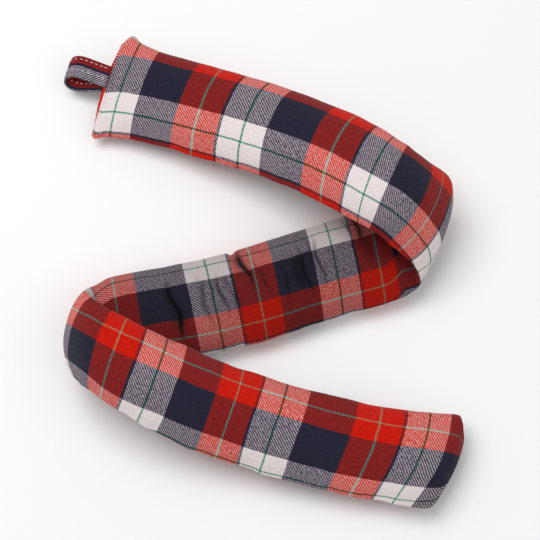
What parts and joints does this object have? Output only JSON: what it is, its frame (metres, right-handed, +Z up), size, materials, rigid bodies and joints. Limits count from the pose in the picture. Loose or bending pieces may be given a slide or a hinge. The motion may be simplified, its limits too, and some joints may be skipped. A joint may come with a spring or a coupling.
{
  "type": "draught excluder",
  "caption": "Long filled cloth tube in a tartan check, folded back on itself in a loose zigzag, with a narrow hanging loop sewn into one end seam.",
  "frame": {"origin": "middle of the bounding box on the plan, on the surface the part rests on", "axes": "+Z up from the surface; +X from the side with the hanging loop toward the right bend; +Y from the lower run toward the upper run, as seen from above"},
  "size_m": [0.2808, 0.3466, 0.079],
  "materials": {
    "brushed_plaid": "brushed twill cloth in a red, navy and white check with thin green lines",
    "loop_plaid": "folded strip of the same cloth, stitched along its edge"
  },
  "bodies": {
    "root": {"draught_tube": "brushed_plaid", "hanging_loop": "loop_plaid"}
  },
  "joints": []
}
